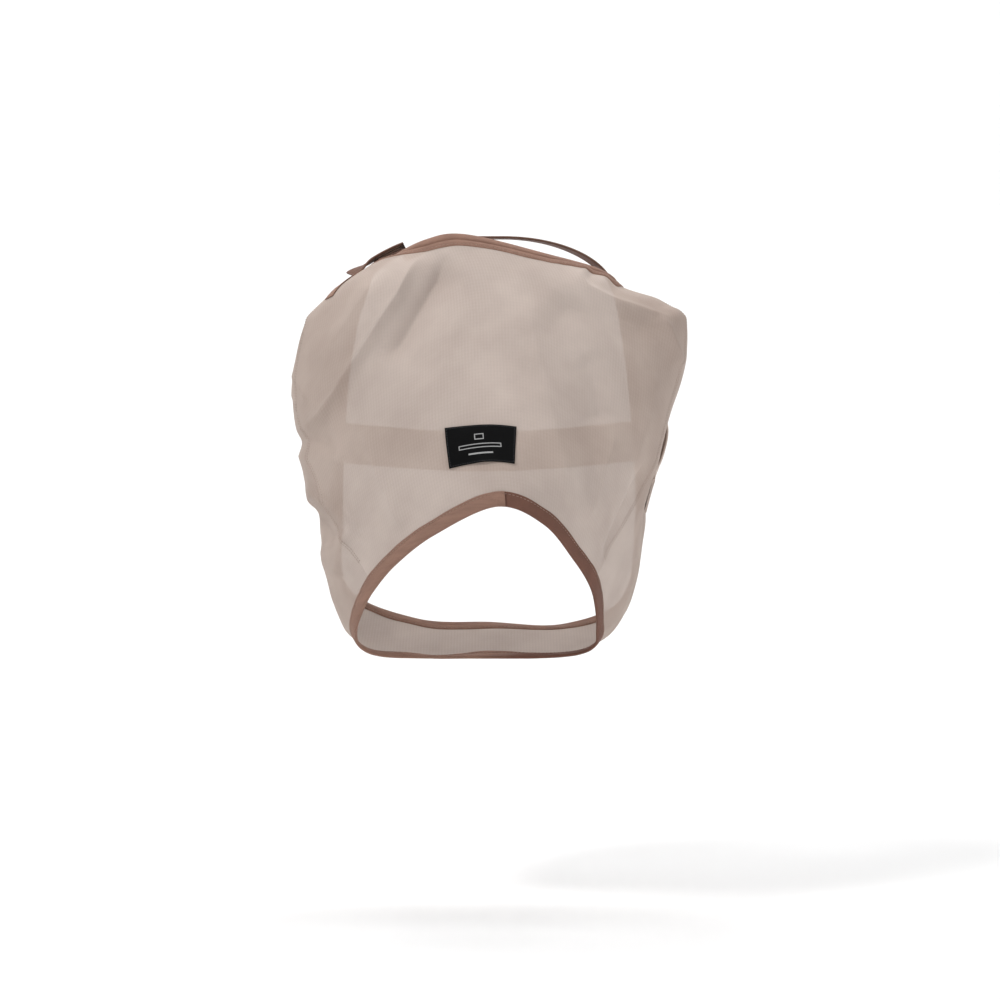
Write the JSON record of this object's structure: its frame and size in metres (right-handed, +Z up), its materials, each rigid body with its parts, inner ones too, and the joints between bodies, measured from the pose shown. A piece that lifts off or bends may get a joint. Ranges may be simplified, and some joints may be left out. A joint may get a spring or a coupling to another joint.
{
  "type": "fly_mask",
  "caption": "Earless horse fly mask: sheer mesh hood with bound edges and nose opening, a poll strap behind the ears and a throat strap, both with hook-and-loop tabs",
  "frame": {"origin": "middle of the level underside of the poll strap, where the mask hangs on the head", "axes": "+Z up as worn, +Y towards the back of the head, +X the viewer's right when facing the mask"},
  "size_m": [0.3618, 0.3183, 0.3893],
  "materials": {
    "mesh_fabric": "matte, sheer fine mesh",
    "binding_tape": "matte woven tape",
    "webbing": "matte woven webbing",
    "hook_and_loop": "matte hook and loop",
    "label": "satin woven label"
  },
  "bodies": {
    "hood": {"face_panel": "mesh_fabric", "side_panel_right": "mesh_fabric", "side_panel_left": "mesh_fabric", "jaw_panel": "mesh_fabric", "nose_binding": "binding_tape", "brow_binding": "binding_tape", "rear_binding_right": "binding_tape", "jaw_binding": "binding_tape", "rear_binding_left": "binding_tape", "dart_tape_right": "binding_tape", "dart_tape_left": "binding_tape", "poll_strap": "webbing", "poll_tail": "webbing", "throat_anchor": "webbing", "poll_loop_pad": "hook_and_loop", "throat_loop_pad": "hook_and_loop", "woven_label": "label"},
    "poll_flap": {"poll_tab": "webbing", "poll_hook_pad": "hook_and_loop"},
    "throat_band": {"throat_strap": "webbing"},
    "throat_flap": {"throat_tab": "webbing", "throat_hook_pad": "hook_and_loop"}
  },
  "joints": [
    {"name": "poll_tab_peel", "type": "hinge", "parent": "hood", "child": "poll_flap", "pos_m": [-0.08247, 0.00214, -0.00518], "axis": [-0.1603, 0.9724, -0.1697], "range_deg": [0, 110]},
    {"name": "throat_strap_swing", "type": "hinge", "parent": "hood", "child": "throat_band", "pos_m": [-0.14199, 0.09095, -0.19136], "axis": [0.0665, -0.1552, 0.9856], "range_deg": [0, 75]},
    {"name": "throat_tab_peel", "type": "hinge", "parent": "throat_band", "child": "throat_flap", "pos_m": [0.141, 0.0915, -0.18919], "axis": [-0.1037, -0.1455, 0.9839], "range_deg": [0, 100]}
  ]
}
